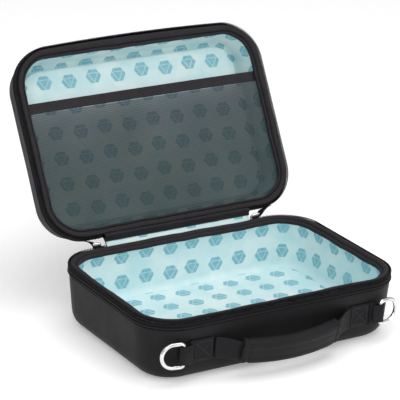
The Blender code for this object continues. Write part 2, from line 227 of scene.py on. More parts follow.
def grid_mesh(name, rows, uvs, closed=False, ring=False, shares=None):
    """Quads between rows of points; closed joins the last row to the first, ring the columns."""
    shape = bmesh.new()
    layer = shape.loops.layers.uv.new("cloth")
    verts = [[shape.verts.new(point) for point in row] for row in rows]
    row_count, width = len(rows), len(rows[0])
    for i in range(row_count if closed else row_count - 1):
        for j in range(width if ring else width - 1):
            a, b = i % row_count, (i + 1) % row_count
            c, d = j % width, (j + 1) % width
            corners = (verts[a][c], verts[a][d], verts[b][d], verts[b][c])
            if len(set(corners)) < 4:
                continue
            face = shape.faces.new(corners)
            flat = (shares[c] + shares[d] > 0,) if shares else ()
            for loop, key in zip(face.loops, ((i, j), (i, j + 1), (i + 1, j + 1), (i + 1, j))):
                loop[layer].uv = uvs(*key, *flat)
    bmesh.ops.remove_doubles(shape, verts=shape.verts, dist=1e-6)
    bmesh.ops.recalc_face_normals(shape, faces=shape.faces)
    return mesh_from(name, shape)


def running(section, ring=False):
    """Distance along a section at each of its points."""
    total, out = 0.0, [0.0]
    points = list(section) + ([section[0]] if ring else [])
    for a, b in zip(points, points[1:]):
        total += math.dist(a[:2], b[:2])
        out.append(total)
    return out


def rim_skin(name, section, place, finish, path=None, ring=False, wave=None, shift=0.0):
    """A section of (inset, depth, share) carried round the rim.

    A share above zero draws the point that far towards the floor's middle line, so the last
    points of a section close the floor.
    """
    path = path or stations()
    closed = abs(path[0][0] - path[-1][0]) > PERIMETER - 1e-6
    section = [tuple(point) + (0.0,) * (3 - len(point)) for point in section]
    across = running(section, ring)
    rows = []
    for s, point, outward in path[:-1] if closed else path:
        row = []
        for inset, depth, share in section:
            push = wave(s, inset, depth) if wave else (0.0, 0.0)
            spot = point - outward * (inset + push[0])
            spot = spot.lerp(spine(point), share)
            row.append(Vector((spot.x, spot.y, -depth - push[1])))
        rows.append(row)

    def uvs(i, j, face_share):
        if not face_share:
            return path[i][0], across[j] + shift
        flat = rows[i % len(rows)][j % len(section)]
        return flat.x, flat.y

    shares = [point[2] for point in section]
    data = grid_mesh(name, [[place @ p for p in row] for row in rows], uvs, closed, ring, shares)
    return link(name, data, finish)


def thicken(thing, amount, offset=-1.0):
    """Gives an open skin its real thickness, and applies it."""
    modifier = thing.modifiers.new("thickness", "SOLIDIFY")
    modifier.thickness = amount
    modifier.offset = offset
    modifier.use_even_offset = True
    apply_modifiers(thing)


def apply_modifiers(thing):
    depsgraph = bpy.context.evaluated_depsgraph_get()
    data = bpy.data.meshes.new_from_object(thing.evaluated_get(depsgraph))
    thing.modifiers.clear()
    old = thing.data
    thing.data = data
    bpy.data.meshes.remove(old)


def sweep(name, path, sections, finish):
    """Joins closed cross-sections, one at each station of a path, and caps both ends."""
    lengths = distances(path)
    girth = distances(list(sections[0]) + [sections[0][0]])
    data = grid_mesh(name, sections, lambda i, j: (lengths[i], girth[j]), ring=True)
    close_ends(data)
    return link(name, data, finish)


def tube(name, points, radius, finish, sides, closed=False):
    """Round wire along points."""
    count = len(points)
    sections = []
    up = None
    for i, point in enumerate(points):
        before = points[i - 1] if i or closed else point
        after = points[(i + 1) % count] if i < count - 1 or closed else point
        along = (after - before).normalized()
        if up is None:
            up = along.orthogonal().normalized()
        up = (up - along * up.dot(along)).normalized()
        side = along.cross(up)
        sections.append([
            point + radius * (math.cos(a) * up + math.sin(a) * side)
            for a in (2 * math.pi * k / sides for k in range(sides))
        ])
    lengths = distances(points)
    lengths.append(lengths[-1] + radius)
    girth = 2 * math.pi * radius / sides
    data = grid_mesh(name, sections, lambda i, j: (lengths[i], j * girth), closed, ring=True)
    if not closed:
        close_ends(data)
    return link(name, data, finish)


def joined(name, pieces):
    """One object from several, which keeps each one's materials."""
    shape = bmesh.new()
    finishes = []
    for piece in pieces:
        data = piece.data
        start = len(shape.faces)
        shape.from_mesh(data)
        shape.faces.ensure_lookup_table()
        material = data.materials[0]
        if material not in finishes:
            finishes.append(material)
        for face in shape.faces[start:]:
            face.material_index = finishes.index(material)
    data = mesh_from(name, shape)
    for material in finishes:
        data.materials.append(material)
    for piece in pieces:
        bpy.data.objects.remove(piece, do_unlink=True)
    return into_scene(name, data)


STITCH_SIDES = 6
# Each ring of a stitch: its share along the stitch, its lift and its size, in thread radii.
STITCH_SHAPE = ((0, -0.9, 0.5), (0.14, 0.25, 0.9), (0.5, 0.6, 1), (0.86, 0.25, 0.9), (1, -0.9, 0.5))


def stitches(name, path, length=2.7 * MM, gap=0.9 * MM, radius=0.27 * MM):
    """Separate thread stitches along a path of (point, surface normal)."""
    runs = distances([point for point, _ in path])

    def at(distance):
        low, high = 0, len(runs) - 1
        while high - low > 1:
            index = (low + high) // 2
            if runs[index] <= distance:
                low = index
            else:
                high = index
        share = (distance - runs[low]) / max(runs[high] - runs[low], 1e-9)
        return path[low][0].lerp(path[high][0], share), path[low][1].lerp(path[high][1], share)

    shape = bmesh.new()
    start = gap / 2
    while start + length < runs[-1]:
        (a, normal), (b, _) = at(start), at(start + length)
        along = (b - a).normalized()
        side = along.cross(normal).normalized()
        up = side.cross(along)
        rings = []
        for share, lift, size in STITCH_SHAPE:
            centre = a.lerp(b, share) + up * radius * lift
            rings.append([
                shape.verts.new(centre + radius * size * (math.cos(t) * side + math.sin(t) * up))
                for t in (2 * math.pi * k / STITCH_SIDES for k in range(STITCH_SIDES))
            ])
        for low, high in zip(rings, rings[1:]):
            for k in range(STITCH_SIDES):
                after = (k + 1) % STITCH_SIDES
                shape.faces.new((low[k], low[after], high[after], high[k]))
        shape.faces.new(rings[0])
        shape.faces.new(rings[-1])
        start += length + gap
    bmesh.ops.recalc_face_normals(shape, faces=shape.faces)
    return link(name, mesh_from(name, shape), "thread")


def give(piece, body, slot, *nodes):
    """Rides a finished piece on its body and hides the CAD parts it stands in for."""
    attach(piece, body)
    if nodes:
        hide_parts(*nodes)
    return piece


# --- Materials --------------------------------------------------------------------------
class Surface:
    """One Principled material, wired up node by node."""

    def __init__(self, name, metallic=0.0, specular=0.5, sheen=0.0, roughness=0.6):
        self.material = bpy.data.materials.new(name)
        self.material.use_nodes = True
        self.tree = self.material.node_tree
        self.shader = self.tree.nodes["Principled BSDF"]
        self.put("Metallic", metallic)
        self.put("Specular IOR Level", specular)
        self.put("Sheen Weight", sheen)
        self.put("Roughness", roughness)
        FINISHES[name] = self.material

    def put(self, socket, value):
        self.feed(self.shader.inputs[socket], value)

    def feed(self, socket, value):
        if isinstance(value, bpy.types.NodeSocket):
            self.tree.links.new(value, socket)
        else:
            socket.default_value = value

    def add(self, kind, inputs=None, output=0, **settings):
        node = self.tree.nodes.new("ShaderNode" + kind)
        for key, value in settings.items():
            setattr(node, key, value)
        for socket, value in (inputs or {}).items():
            self.feed(node.inputs[socket], value)
        return node.outputs[output]

    def math(self, operation, a, b=0.0):
        return self.add("Math", {0: a, 1: b}, operation=operation)

    def cloth(self):
        """The cloth's own coordinates, in metres: along it and across it."""
        node = self.tree.nodes.new("ShaderNodeUVMap")
        node.uv_map = "cloth"
        split = self.tree.nodes.new("ShaderNodeSeparateXYZ")
        self.tree.links.new(node.outputs[0], split.inputs[0])
        return split.outputs[0], split.outputs[1]

    def place(self):
        return self.add("TexCoord", output=3)

    def noise(self, size, detail=3.0):
        return self.add("TexNoise", {"Vector": self.place(), "Scale": 1 / size, "Detail": detail})

    def ramp(self, value, low, high, out_low, out_high, smooth=False):
        inputs = {0: value, 1: low, 2: high, 3: out_low, 4: out_high}
        kind = "SMOOTHSTEP" if smooth else "LINEAR"
        return self.add("MapRange", inputs, interpolation_type=kind)

    def mix(self, share, a, b):
        node = self.tree.nodes.new("ShaderNodeMix")
        node.data_type = "RGBA"
        for index, value in ((0, share), (6, a), (7, b)):
            self.feed(node.inputs[index], value)
        return node.outputs[2]

    def bump(self, height, distance, strength):
        node = self.tree.nodes.new("ShaderNodeBump")
        self.feed(node.inputs["Height"], height)
        node.inputs["Distance"].default_value = distance
        node.inputs["Strength"].default_value = strength
        self.put("Normal", node.outputs[0])

    def ribs(self, value, pitch):
        """A wave of ridges, 0 to 1, with one ridge in each pitch."""
        wave = self.math("SINE", self.math("MULTIPLY", value, 2 * math.pi / pitch))
        return self.ramp(wave, -1, 1, 0, 1)


FINISHES = {}


def rgb(red, green, blue):
    return (red, green, blue, 1.0)


def worn_colour(surface, dark, light, size):
    """Two close shades blended by a soft noise."""
    share = surface.ramp(surface.noise(size), 0.35, 0.65, 0, 1)
    surface.put("Base Color", surface.mix(share, dark, light))


def cover_finish():
    """Matte coated fabric over moulded foam: fine leathery grain, faint cloudiness."""
    surface = Surface("cover", specular=0.16)
    worn_colour(surface, rgb(0.0078, 0.0078, 0.0086), rgb(0.0115, 0.0115, 0.0130), 45 * MM)
    grain = surface.add("TexVoronoi", {"Vector": surface.place(), "Scale": 1 / (0.75 * MM)},
                        feature="SMOOTH_F1")
    fine = surface.noise(0.35 * MM, 2.0)
    height = surface.math("ADD", surface.math("MULTIPLY", grain, 0.6), fine)
    surface.bump(height, 0.10 * MM, 0.55)
    surface.put("Roughness", surface.ramp(surface.noise(30 * MM), 0.3, 0.7, 0.50, 0.60))


def woven_finish(name, dark, light, along, across, depth, roughness, specular):
    """Plain woven tape: ribs one way, finer threads the other."""
    surface = Surface(name, specular=specular, sheen=specular / 5)
    u, v = surface.cloth()
    weave = surface.math("MULTIPLY", surface.ribs(u, along), surface.ribs(v, across))
    cloudy = surface.noise(9 * MM)
    share = surface.math("MULTIPLY", surface.math("ADD", weave, cloudy), 0.6)
    surface.put("Base Color", surface.mix(share, dark, light))
    surface.bump(weave, depth, 0.8)
    surface.put("Roughness", surface.ramp(cloudy, 0.3, 0.7, roughness - 0.06, roughness + 0.06))


def webbing_finish():
    """Nylon webbing: herringbone ribs that change direction down the middle."""
    surface = Surface("webbing", specular=0.14, sheen=0.02)
    u, v = surface.cloth()
    zigzag = surface.math("PINGPONG", v, 3.1 * MM)
    slanted = surface.math("ADD", u, surface.math("MULTIPLY", zigzag, 0.8))
    ribs = surface.ribs(slanted, 1.5 * MM)
    cloudy = surface.noise(12 * MM)
    share = surface.math("MULTIPLY", surface.math("ADD", ribs, cloudy), 0.55)
    surface.put("Base Color", surface.mix(share, rgb(0.004, 0.004, 0.005), rgb(0.015, 0.015, 0.017)))
    surface.bump(ribs, 0.25 * MM, 0.7)
    surface.put("Roughness", surface.ramp(cloudy, 0.3, 0.7, 0.52, 0.66))


def coil_finish():
    surface = Surface("coil", specular=0.12)
    worn_colour(surface, rgb(0.006, 0.006, 0.007), rgb(0.014, 0.014, 0.016), 5 * MM)
    surface.bump(surface.noise(0.4 * MM), 0.03 * MM, 0.4)
    surface.put("Roughness", surface.ramp(surface.noise(4 * MM), 0.3, 0.7, 0.34, 0.46))


def thread_finish():
    surface = Surface("thread", specular=0.25, sheen=0.05)
    worn_colour(surface, rgb(0.022, 0.021, 0.024), rgb(0.042, 0.040, 0.044), 2 * MM)
    twist = surface.add("TexWave", {"Vector": surface.place(), "Scale": 1 / (0.9 * MM)},
                        bands_direction="DIAGONAL")
    surface.bump(twist, 0.08 * MM, 0.5)
    surface.put("Roughness", surface.ramp(surface.noise(3 * MM), 0.3, 0.7, 0.5, 0.65))


def metal_finish():
    """Polished nickel with faint handling marks."""
    surface = Surface("metal", metallic=1.0)
    worn_colour(surface, rgb(0.72, 0.71, 0.70), rgb(0.86, 0.85, 0.84), 6 * MM)
    scratches = surface.noise(1.2 * MM, 6.0)
    surface.bump(scratches, 0.02 * MM, 0.15)
    surface.put("Roughness", surface.ramp(scratches, 0.35, 0.7, 0.16, 0.30))


def foam_finish():
    surface = Surface("foam", specular=0.3, sheen=0.1)
    worn_colour(surface, rgb(0.030, 0.030, 0.034), rgb(0.052, 0.052, 0.056), 4 * MM)
    cells = surface.add("TexVoronoi", {"Vector": surface.place(), "Scale": 1 / (0.6 * MM)})
    surface.bump(cells, 0.15 * MM, 0.6)
    surface.put("Roughness", surface.ramp(cells, 0, 1, 0.8, 0.95))


PRINT_PITCH = 29.5 * MM
PRINT_ROW = 27.5 * MM
PRINT_SHIFT = 2 * MM
MOTIF = 7.1 * MM
MOTIF_LINE = 0.55 * MM
MOTIF_FACE = 3.3 * MM
MOTIF_EDGE = 0.5 * MM
MOTIF_WIDEN = 0.92


def motif(surface, u, v):
    """1 inside a repeating figure, a hexagon; the outline of a triangle in it is lower."""
    column = surface.math("DIVIDE", u, PRINT_PITCH)
    odd = surface.math("MODULO", surface.math("ABSOLUTE", surface.math("FLOOR", column)), 2.0)
    lifted = surface.math("ADD", v, surface.math("MULTIPLY", odd, PRINT_SHIFT))
    x = surface.math("SUBTRACT", surface.math("FRACT", column), 0.5)
    row = surface.math("DIVIDE", lifted, PRINT_ROW)
    y = surface.math("SUBTRACT", surface.math("FRACT", row), 0.5)
    x = surface.math("MULTIPLY", x, PRINT_PITCH)
    y = surface.math("MULTIPLY", y, PRINT_ROW)
    x = surface.math("MULTIPLY", x, MOTIF_WIDEN)
    wide, tall = surface.math("ABSOLUTE", x), surface.math("ABSOLUTE", y)
    slant = surface.math("MULTIPLY", wide, math.sqrt(0.75))
    side = surface.math("ADD", slant, surface.math("MULTIPLY", tall, 0.5))
    edge = surface.math("MAXIMUM", side, tall)
    body = surface.ramp(edge, MOTIF, MOTIF + MOTIF_EDGE, 1, 0, True)
    inner = surface.math("ADD", slant, surface.math("MULTIPLY", y, 0.5))
    inner = surface.math("MAXIMUM", inner, surface.math("MULTIPLY", y, -1.0))
    away = surface.math("ABSOLUTE", surface.math("SUBTRACT", inner, MOTIF_FACE))
    line = surface.ramp(away, MOTIF_LINE / 2, MOTIF_LINE / 2 + MOTIF_EDGE / 2, 1, 0, True)
    left = surface.math("SUBTRACT", 1.0, surface.math("MULTIPLY", line, 0.6))
    return surface.math("MULTIPLY", body, left)


def lining_finish():
    """Printed polyester lining, satin-smooth, with a repeating teal figure."""
    surface = Surface("lining", specular=0.25, sheen=0.05)
    u, v = surface.cloth()
    cloudy = surface.noise(26 * MM)
    ground = surface.mix(surface.ramp(cloudy, 0.35, 0.65, 0, 1), rgb(0.56, 0.78, 0.805),
                         rgb(0.71, 0.845, 0.845))
    ink = surface.mix(surface.ramp(surface.noise(3 * MM), 0.3, 0.7, 0, 1), rgb(0.18, 0.45, 0.53),
                      rgb(0.29, 0.56, 0.63))
    surface.put("Base Color", surface.mix(motif(surface, u, v), ground, ink))
    weave = surface.math("MULTIPLY", surface.ribs(u, 0.7 * MM), surface.ribs(v, 0.7 * MM))
    surface.bump(weave, 0.06 * MM, 0.4)
    surface.put("Roughness", surface.ramp(cloudy, 0.3, 0.7, 0.5, 0.62))


def mesh_finish():
    """Fine knitted mesh that shows what is behind it."""
    surface = Surface("mesh", specular=0.3, sheen=0.1)
    u, v = surface.cloth()
    rows = surface.ribs(v, 2.1 * MM)
    holes = surface.math("MULTIPLY", surface.ribs(u, 1.3 * MM), rows)
    cloudy = surface.noise(60 * MM)
    # Painted shade: the mesh's colour darkens from a blue-grey near the pocket's mouth to a deeper
    # green-grey towards its edge by the hinge.
    height = surface.math("ADD", v, surface.math("MULTIPLY", cloudy, 30 * MM))
    shade = surface.mix(surface.ramp(height, -60 * MM, 40 * MM, 0, 1), rgb(0.042, 0.040, 0.052),
                        rgb(0.024, 0.036, 0.036))
    surface.put("Base Color", shade)
    cover = surface.math("ADD", surface.ramp(holes, 0, 1, 0.80, 0.60),
                         surface.ramp(cloudy, 0.3, 0.7, -0.03, 0.03))
    surface.put("Alpha", cover)
    surface.bump(holes, 0.1 * MM, 0.4)
    surface.put("Roughness", surface.ramp(cloudy, 0.3, 0.7, 0.55, 0.7))


cover_finish()
woven_finish("tape", rgb(0.005, 0.005, 0.006), rgb(0.015, 0.014, 0.016),
             along=1.6 * MM, across=0.9 * MM, depth=0.15 * MM, roughness=0.66, specular=0.08)
woven_finish("binding", rgb(0.007, 0.006, 0.007), rgb(0.034, 0.030, 0.034),
             along=2.3 * MM, across=60 * MM, depth=0.35 * MM, roughness=0.62, specular=0.15)
webbing_finish()
coil_finish()
thread_finish()
metal_finish()
foam_finish()
lining_finish()
mesh_finish()


# --- Base and lid shells ----------------------------------------------------------------
FLOOR_SHARES = (0.12, 0.3, 0.55, 0.8, 1.0)


def floor_rings(edge, depth):
    """The rest of a floor, from the inset where its wall's section ends."""
    return [(edge, depth, share) for share in FLOOR_SHARES]


def cover(prefix, height, draft, fillet, bow, place, body):
    """Moulded outer skin, with its top edge turned in under the zip tape."""
    section = in_mm([(2.6, 11.2), (1.6, 11.6), (0.9, 12.2)])
    section.append((draft * COVER_TUCK + 0.1 * MM, COVER_TUCK))
    section += wall(height, draft, 0.0, fillet, 9, start=COVER_WALL)
    section += floor_rings(section[-1][0], height)
    skin = rim_skin(f"{prefix}_cover_skin", section, place, "cover", path=stations(bow=bow))
    sag_outside(skin, place, height)
    thicken(skin, COVER)
    give(skin, body, "cover", f"{prefix}_cover")


def foam(prefix, height, draft, fillet, inner_fillet, place, body):
    """The foam between cover and lining, as one moulded shell."""
    outside, inside = COVER + 0.4 * MM, LINING_INSET - LINING - 0.35 * MM
    inner = wall(height - inside, draft, inside, inner_fillet, 6, start=FOAM_TOP)
    outer = wall(height - outside, draft, outside, fillet - outside, 6, start=FOAM_TOP)
    section = floor_rings(inner[-1][0], height - inside)[::-1] + inner[::-1]
    section += outer + floor_rings(outer[-1][0], height - outside)
    shell = rim_skin(f"{prefix}_foam_body", section, place, "foam", path=stations(spacing=5 * MM))
    give(shell, body, "foam", f"{prefix}_foam_shell")


def sag_outside(skin, place, height):
    """Slight unevenness of the moulded wall, none on the flat bottom."""
    back = place.inverted()
    for vert in skin.data.vertices:
        depth = -(back @ vert.co).z
        share = min(1.0, max(0.0, (height - depth) / (8 * MM)))
        push = 0.45 * MM * noise.noise(vert.co / (55 * MM)) - 0.1 * MM
        vert.co += vert.normal * push * share


def lining(prefix, floor_depth, draft, fillet, panel, rise, shift, place, body):
    """Lining pulled over the foam: bulged under the binding, with a raised floor panel."""
    section = in_mm([(10.9, 6.7), (10.3, 8.0), (9.2, 10.2)])
    section.append((LINING_INSET + draft * LINING_TUCK + 0.5 * MM, LINING_TUCK))
    section += wall(floor_depth, draft, LINING_INSET, fillet, 6, start=LINING_WALL)
    foot = max(section[-1][0] + 0.4 * MM, panel)
    for across, up in ((0.0, 0.0), (0.3, 0.05), (0.7, 0.3), (0.9, 0.75), (1.3, 0.95), (2.1, 1.0)):
        section.append((foot + across * MM, floor_depth - rise * up, 1e-5))
    section += floor_rings(section[-1][0], floor_depth - rise)
    skin = rim_skin(f"{prefix}_lining_skin", section, place, "lining", wave=lining_wave,
                    shift=shift)
    thicken(skin, LINING, offset=1.0)
    give(skin, body, "lining", f"{prefix}_lining")


def lining_wave(s, inset, depth):
    """Small gathers near the sewn edge, which follows the binding, gone by the floor."""
    near = min(1.0, max(0.0, 1 - (depth - 7 * MM) / (13 * MM)))
    share = max(0.0, 1 - depth / (45 * MM)) * (1 - near)
    ripple = noise.noise(Vector((s / (17 * MM), depth / (30 * MM), 3.0)))
    inward, down = binding_wave(s, 9 * MM, 0.0)
    return 0.8 * MM * ripple * share + inward * near, down * near


# Closed sections round the rim, in millimetres: inset from its outline, depth below its plane.
TAPE_SECTION = (
    (1.0, 11.1), (0.35, 10.8), (-0.1, 10.2), (-0.25, 9.4), (-0.1, 8.6), (0.4, 8.1), (0.9, 7.8),
    (0.4, 7.5), (0.05, 7.0), (-0.05, 6.2), (0.0, 5.3), (0.3, 4.6), (1.3, 4.6), (1.6, 7.5), (1.6, 11.0),
)
BINDING_SECTION = (
    (2.9, 3.6), (2.55, 2.1), (2.8, 0.9), (3.6, 0.25), (4.9, 0.1), (6.2, 0.5), (7.2, 1.3), (7.9, 2.5),
    (8.3, 4.0), (8.7, 4.6), (9.0, 3.7), (9.5, 2.9), (10.2, 2.8), (11.0, 3.4), (11.5, 4.6),
    (11.6, 6.0), (11.3, 7.0), (10.6, 7.2), (9.5, 6.8), (7.2, 5.2), (5.0, 3.9), (3.8, 3.6),
)
BINDING_STEP = 2.2 * MM
SEAM_INSET = 7.35 * MM


def rim_parts(prefix, bow, place, body):
    """Zip tape, zip coil, and the sewn binding with its stitches, on one half's rim."""
    path = stations(ZIP_END, PERIMETER - ZIP_END, 2.5 * MM, bow)
    skin = rim_skin(f"{prefix}_zip_tape_skin", in_mm(TAPE_SECTION), place, "tape", path=path,
                    ring=True, wave=tape_wave)
    close_ends(skin.data)
    thread = stitches(f"{prefix}_zip_tape_stitches",
                      stitch_row(place, path, -0.2 * MM, 9.4 * MM, side=True))
    give(skin, body, "tape", f"{prefix}_zip_tape")
    give(thread, body, "tape")
    coil = zip_coil(f"{prefix}_zip_coil", bow, place)
    give(coil, body, "zip_chain", f"{prefix}_zip_chain")

    def wave(s, inset, depth):
        inward, down = binding_wave(s, inset, depth)
        fade = 1 - min(1.0, inset / BINDING_REACH)
        return inward - bow * bow_share(*rim_at(s)) * fade, down

    binding = rim_skin(f"{prefix}_binding_skin", in_mm(BINDING_SECTION), place, "binding",
                       path=stations(spacing=BINDING_STEP), ring=True, wave=wave)
    give(binding, body, "tape", f"{prefix}_binding")
    seam_path = stations(spacing=BINDING_STEP, bow=bow * (1 - SEAM_INSET / BINDING_REACH))
    seam = stitch_row(place, seam_path, SEAM_INSET, 1.55 * MM, wave=binding_wave)
    give(stitches(f"{prefix}_binding_stitches", seam), body, "tape")


def tape_wave(s, inset, depth):
    return 0.25 * MM * noise.noise(Vector((s / (14 * MM), depth / (9 * MM), 7.0))), 0.0


def binding_wave(s, inset, depth):
    """Puckers between the stitches, and the longer waves of a hand-fed binding."""
    slow = noise.noise(Vector((s / (24 * MM), 0.0, 1.0)))
    quick = noise.noise(Vector((s / (6 * MM), inset / (9 * MM), 5.0)))
    share = min(1.0, max(0.0, (inset - 2 * MM) / (5 * MM)))
    dip = max(0.0, 0.35 + noise.noise(Vector((s / (47 * MM), 2.0, 8.0))))
    return 0.7 * MM * slow * share, 1.3 * MM * dip + 0.2 * MM * (slow + quick * share)


def stitch_row(place, path, inset, depth, side=False, wave=None):
    """Places for a line of stitches that follows the rim."""
    turn = place.to_3x3()
    row = []
    for s, point, outward in path:
        push = wave(s, inset, depth) if wave else (0.0, 0.0)
        normal = outward if side else Vector((0, 0, 1)) - outward * 0.6
        spot = point - outward * (inset + push[0]) - Vector((0, 0, depth + push[1]))
        row.append((place @ spot, (turn @ normal).normalized()))
    return row


def zip_coil(name, bow, place):
    """One side's zip teeth: a nylon coil along the rim's top edge."""
    pitch, turn_steps = 1.9 * MM, 8
    start, stop = CHAIN_END, PERIMETER - CHAIN_END
    count = int((stop - start) / pitch * turn_steps)
    points = []
    for i in range(count + 1):
        s = start + (stop - start) * i / count
        point, outward = rim_at(s, bow)
        angle = 2 * math.pi * i / turn_steps
        inset = 1.05 * MM - 0.8 * MM * math.cos(angle)
        depth = 2.35 * MM - 1.7 * MM * math.sin(angle)
        points.append(place @ (point - outward * inset - Vector((0, 0, depth))))
    return tube(name, points, 0.5 * MM, "coil", sides=5)


def build_halves():
    cover("base", RIM_Z, BASE_DRAFT, BASE_FILLET, 0.0, BASE, "base")
    cover("lid", LID_HEIGHT, LID_DRAFT, LID_FILLET, LID_BOW, LID, "lid")
    foam("base", RIM_Z, BASE_DRAFT, BASE_FILLET, 13 * MM, BASE, "base")
    foam("lid", LID_HEIGHT, LID_DRAFT, LID_FILLET, 4 * MM, LID, "lid")
    lining("base", BASE_FLOOR, BASE_DRAFT, 7.5 * MM, 20 * MM, 2.0 * MM, 6.5 * MM, BASE, "base")
    lining("lid", LID_FLOOR, LID_DRAFT, 5.0 * MM, 18.8 * MM, 8.0 * MM, 5.5 * MM, LID, "lid")
    rim_parts("base", 0.0, BASE, "base")
    rim_parts("lid", LID_BOW, LID, "lid")


build_halves()


# --- Hinge ------------------------------------------------------------------------------
def strip(name, profile, half, finish, thickness, sag):
    """Cloth strip along X through (y, z) points, a little wavy."""
    steps = 44
    rows = []
    for i in range(steps + 1):
        x = half * (2 * i / steps - 1)
        row = []
        for j, (y, z) in enumerate(profile):
            share = math.sin(math.pi * j / (len(profile) - 1))
            ripple = sag * share * noise.noise(Vector((x / (22 * MM), j * 0.2, 2.0)))
            row.append(Vector((x, y + ripple, z - ripple * 0.4)))
        rows.append(row)
    across = running(profile)
    data = grid_mesh(name, rows, lambda i, j: (2 * half * i / steps, across[j]))
    made = link(name, data, finish)
    thicken(made, thickness, offset=0.0)
    return made


def lid_point(inset, depth):
    """(y, z) of a point on the hinge side of the lid's rim."""
    spot = LID @ Vector((0, DEPTH / 2 - inset, -depth))
    return spot.y, spot.z


def curve_through(points, steps):
    """Smooth points through a few (y, z) points."""
    out = []
    ends = [points[0]] + list(points) + [points[-1]]
    for k in range(1, len(ends) - 2):
        p0, p1, p2, p3 = (Vector(p) for p in ends[k - 1:k + 3])
        for i in range(steps):
            t = i / steps
            out.append(tuple(0.5 * (2 * p1 + (p2 - p0) * t + (2 * p0 - 5 * p1 + 4 * p2 - p3) * t * t
                                    + (3 * p1 - p0 - 3 * p2 + p3) * t ** 3)))
    out.append(tuple(points[-1]))
    return out


def sheet_of(piece, profile, node):
    """Bakes a hinge strip's placement into its mesh and hides the CAD part it stands in for, if any."""
    running(profile)[-1]
    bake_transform(piece)
    if node:
        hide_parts(node)


def build_hinge():
    rim_y = DEPTH / 2
    inner = curve_through([(rim_y - 2.6 * MM, RIM_Z - 3.0 * MM), (rim_y - 0.4 * MM, RIM_Z + 0.8 * MM),
                           (rim_y + 2.0 * MM, RIM_Z + 4.5 * MM), lid_point(0.6 * MM, 0.2 * MM),
                           lid_point(2.6 * MM, 3.0 * MM)], 5)
    strip_in = strip("hinge_lining_strip", inner, GUSSET_HALF, "lining", 0.5 * MM, 0.5 * MM)
    sheet_of(strip_in, inner, "hinge_lining")
    front = [(y - 0.8 * MM, z + 0.3 * MM) for y, z in inner[8:]]
    strip_tape = strip("hinge_tape_strip", front, ZIP_END, "binding", 0.8 * MM, 0.9 * MM)
    sheet_of(strip_tape, front, None)
    outer = curve_through([(rim_y - 1.2 * MM, RIM_Z - 12.5 * MM), (rim_y + 0.2 * MM, RIM_Z - 9 * MM),
                           (rim_y + 1.2 * MM, RIM_Z - 3.0 * MM), (rim_y + 2.0 * MM, RIM_Z + 1.2 * MM),
                           lid_point(-0.4 * MM, 8.0 * MM), lid_point(1.6 * MM, 12.5 * MM)], 5)
    strip_out = strip("hinge_cover_strip", outer, GUSSET_HALF, "cover", 0.9 * MM, 0.3 * MM)
    sheet_of(strip_out, outer, "hinge_cover")
    for name, sign in (("left", -1), ("right", 1)):
        build_tail(f"zip_tape_tail_{name}", sign)


TAIL_START = 89.5 * MM
TAIL_LONG = 27 * MM


def build_tail(name, sign):
    """The end of the lid's zip tape, which leaves the lid's corner and runs to the slider."""
    rim_y = DEPTH / 2
    steps = 14
    rows = []
    for i in range(steps + 1):
        t = i / steps
        ease = smooth(t)
        x = sign * (TAIL_START + TAIL_LONG * t)
        low = Vector((x, rim_y - 0.4 * MM, RIM_Z - 3.4 * MM))
        y_lid, z_lid = lid_point(0.2 * MM, 3.0 * MM)
        high = Vector((x, y_lid, z_lid))
        centre = low.lerp(high, ease)
        up = Vector((0, -0.15, 1)).lerp(Vector((0, 0.8, -0.45)), ease)
        half = 3.2 * MM * (0.75 + 0.25 * t)
        fold = Vector((0, 1.2 * MM * math.sin(math.pi * t), 0))
        rows.append([centre + fold * k + up.normalized() * half * side
                     for side, k in ((-1, 0.2), (-0.4, 1.0), (0.3, 0.4), (1, 1.0))])
    lengths = [TAIL_LONG * i / steps for i in range(steps + 1)]
    data = grid_mesh(name, rows, lambda i, j: (lengths[i], j * 2 * MM))
    tail = link(name, data, "tape")
    thicken(tail, 0.8 * MM, offset=0.0)
    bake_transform(tail)


build_hinge()


# --- Pocket -----------------------------------------------------------------------------
POCKET_DEPTH = 8.7 * MM
POCKET_EDGE = 9.0 * MM
POCKET_CORNER = 37.5 * MM
POCKET_MOUTH = 139.5 * MM
BAND_TALL = 11.0 * MM


def build_pocket():
    low, high = (Vector(corner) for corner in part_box("pocket_mesh"))
    half = (high.x - low.x) / 2
    depth, corner = POCKET_DEPTH, POCKET_CORNER
    mouth = DEPTH / 2 - POCKET_MOUTH
    top = DEPTH / 2 - POCKET_EDGE
    steps_x, steps_y = 56, 30
    rows = []
    for j in range(steps_y + 1):
        y = mouth + (top - mouth) * j / steps_y
        over = max(0.0, y - (top - corner))
        reach = half - corner + math.sqrt(max(corner ** 2 - over ** 2, 1e-8))
        row = []
        for i in range(steps_x + 1):
            across = 2 * i / steps_x - 1
            sag = 2.4 * MM * (1 - across ** 2) * math.sin(math.pi * min(1.0, (j + 3) / (steps_y + 3)))
            ripple = 0.35 * MM * noise.noise(Vector((reach * across / (30 * MM), y / (40 * MM), 4.0)))
            row.append(Vector((reach * across, y, -depth - sag - ripple)))
        rows.append(row)
    data = grid_mesh("pocket_mesh_sheet", [[LID @ p for p in row] for row in rows],
                     lambda i, j: (rows[i][j].x, rows[i][j].y))
    sheet = link("pocket_mesh_sheet", data, "mesh")
    give(sheet, "lid", "mesh", "pocket_mesh")
    build_pocket_band(half, mouth, depth)


def band_spot(half, mouth, depth, across):
    """Middle of the elastic at a share of the pocket's half width, bowed with the mesh."""
    bowed = 1 - across ** 2
    sag = 0.9 * MM * bowed + 0.2 * MM * noise.noise(Vector((across * 5, 0, 9)))
    return Vector((half * across, mouth - BAND_TALL / 2 - 0.6 * MM * bowed, -depth - sag))


